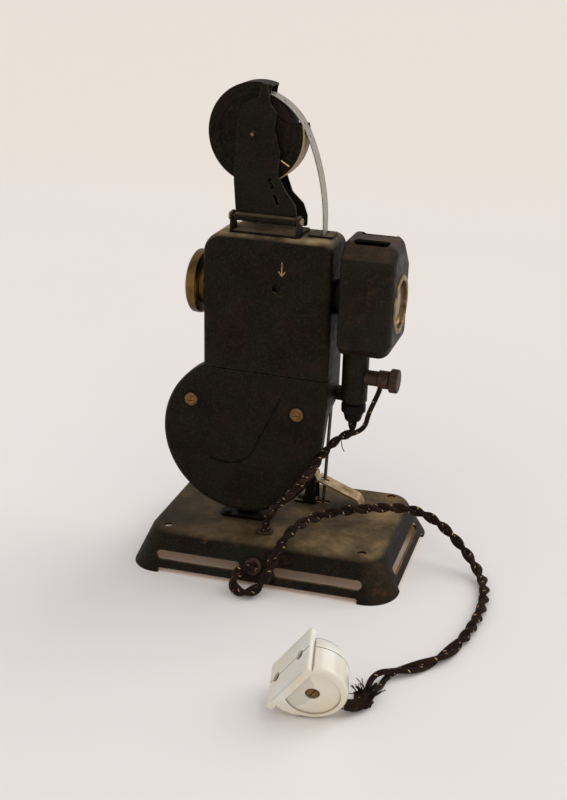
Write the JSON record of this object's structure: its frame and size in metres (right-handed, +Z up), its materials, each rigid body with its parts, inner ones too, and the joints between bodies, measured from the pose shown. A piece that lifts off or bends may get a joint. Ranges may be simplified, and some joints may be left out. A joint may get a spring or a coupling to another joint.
{
  "type": "movie projector",
  "caption": "Hand-cranked home film projector with a tilting head on a pressed base, a round lens ring, a lamp house, a film cartridge on a folding arm and a corded plug.",
  "frame": {"origin": "centre of the base's underside", "axes": "+Z up, -X towards the screen along the lens, +X towards the lamp, +Y towards the crank, away from the gear cover"},
  "size_m": [0.2082, 0.2129, 0.2717],
  "materials": {
    "black_enamel": "worn crackle enamel",
    "bare_steel": "dull steel",
    "gear_steel": "oiled steel",
    "old_brass": "tarnished, with rust",
    "worn_tin": "worn plating over brass",
    "lens_brass": "polished, worn",
    "cartridge_enamel": "satin enamel",
    "porcelain": "ivory glaze, soiled",
    "braid": "twisted cotton braid",
    "film": "grey translucent film",
    "handle_wood": "dark varnish",
    "insulation": "pressed fibre",
    "resistor_ceramic": "unglazed",
    "glass": "clear",
    "mirror": "silvered"
  },
  "bodies": {
    "base": {"base_pan": "black_enamel", "mains_grommet": "insulation", "lead_eyelet": "old_brass", "resistor": "resistor_ceramic", "resistor_clips": "bare_steel", "tilt_bracket": "black_enamel", "base_rivets": "bare_steel", "tilt_pin": "bare_steel", "lever_bracket": "black_enamel", "mains_cord": "braid", "lamp_lead": "braid", "plug_front": "porcelain", "plug_back": "porcelain", "plug_contacts": "old_brass", "plug_screw": "old_brass"},
    "lever": {"lock_lever": "worn_tin"},
    "head": {"body_shell": "black_enamel", "drum_cover": "black_enamel", "cover_screws": "old_brass", "mechanism_plate": "bare_steel", "plate_studs": "bare_steel", "shaft_bushes": "old_brass", "tilt_lugs": "black_enamel", "rod_stud": "bare_steel", "gate_plate": "bare_steel", "lens_bush": "old_brass", "lamp_house": "black_enamel", "lamp_neck": "black_enamel", "condenser": "glass", "window_ring": "old_brass", "mirror": "mirror", "lamp_bulb": "glass", "lamp_socket": "black_enamel", "socket_cap": "insulation", "terminal_bush": "old_brass", "arm_bracket": "black_enamel", "arm_pin": "bare_steel", "slot_plate": "black_enamel", "door_hinge": "bare_steel", "film_strip": "film"},
    "rod": {"tilt_rod": "bare_steel"},
    "crank": {"crank_shaft": "bare_steel", "crank_gear": "gear_steel", "crank_arm": "bare_steel"},
    "handle": {"crank_handle": "handle_wood"},
    "idler": {"idler_gear": "gear_steel"},
    "shutter": {"shutter_shaft": "gear_steel", "shutter_drum": "bare_steel"},
    "claw": {"claw": "bare_steel"},
    "pressure": {"pressure_plate": "bare_steel"},
    "lens": {"lens_tube": "lens_brass", "lens_glass": "glass", "lens_ring": "lens_brass"},
    "door": {"film_door": "black_enamel"},
    "arm": {"film_arm": "black_enamel", "cartridge_case": "cartridge_enamel", "cartridge_cover": "cartridge_enamel"},
    "roll": {"film_roll": "film"},
    "terminal": {"terminal_knob": "old_brass"},
    "clamp": {"clamp_screw": "old_brass"}
  },
  "joints": [
    {"name": "head_tilt", "type": "hinge", "parent": "base", "child": "head", "pos_m": [-0.0185, -0.006, 0.03], "axis": [0, 1, 0], "range_deg": [-2.2, 6], "deforming": ["lamp_lead"]},
    {"name": "rod_swing", "type": "hinge", "parent": "head", "child": "rod", "pos_m": [0.02553, 0.018, 0.09496], "axis": [0, 1, 0], "range_deg": [-0.6, 1.5]},
    {"name": "lever_lift", "type": "hinge", "parent": "base", "child": "lever", "pos_m": [0.0144, 0.018, 0.04012], "axis": [0, -1, 0], "range_deg": [0, 14]},
    {"name": "lens_slide", "type": "slide", "parent": "head", "child": "lens", "axis": [-0.9993, 0, 0.0384], "range_m": [-0.0015, 0.004]},
    {"name": "crank_spin", "type": "hinge", "parent": "head", "child": "crank", "pos_m": [-0.01644, 0, 0.07846], "axis": [0, 1, 0], "continuous": true},
    {"name": "handle_spin", "type": "hinge", "parent": "crank", "child": "handle", "pos_m": [-0.01536, 0.02, 0.10644], "axis": [0, 1, 0], "continuous": true},
    {"name": "idler_spin", "type": "hinge", "parent": "head", "child": "idler", "pos_m": [-0.00183, 0, 0.13577], "axis": [0, 1, 0], "continuous": true},
    {"name": "shutter_spin", "type": "hinge", "parent": "head", "child": "shutter", "pos_m": [0.00613, 0, 0.16698], "axis": [0, 1, 0], "continuous": true},
    {"name": "claw_slide", "type": "slide", "parent": "head", "child": "claw", "axis": [0.0384, 0, 0.9993], "range_m": [-0.00377, 0.00377]},
    {"name": "pressure_slide", "type": "slide", "parent": "head", "child": "pressure", "axis": [0.9993, 0, -0.0384], "range_m": [0, 0.0015], "stiffness_N_per_m": 150, "springref_m": -0.003},
    {"name": "door_swing", "type": "hinge", "parent": "head", "child": "door", "pos_m": [0.00498, 0.0036, 0.15669], "axis": [0.0384, 0, 0.9993], "range_deg": [0, 105]},
    {"name": "arm_fold", "type": "hinge", "parent": "head", "child": "arm", "pos_m": [-0.00106, -0.0175, 0.20266], "axis": [0.9993, 0, -0.0384], "range_deg": [0, 95], "deforming": ["film_strip"]},
    {"name": "roll_spin", "type": "hinge", "parent": "arm", "child": "roll", "pos_m": [-0.00701, -0.008, 0.24572], "axis": [0, 1, 0], "continuous": true},
    {"name": "terminal_spin", "type": "hinge", "parent": "head", "child": "terminal", "pos_m": [0.06535, -0.008, 0.11554], "axis": [0.9993, 0, -0.0384], "continuous": true},
    {"name": "clamp_spin", "type": "hinge", "parent": "head", "child": "clamp", "pos_m": [0.03584, -0.002, 0.10297], "axis": [0.9993, 0, -0.0384], "continuous": true}
  ],
  "couplings": [
    {"joint": "rod_swing", "follows": "head_tilt", "ratio": 0.22},
    {"joint": "idler_spin", "follows": "crank_spin", "ratio": -1.0864},
    {"joint": "shutter_spin", "follows": "crank_spin", "ratio": 8}
  ]
}
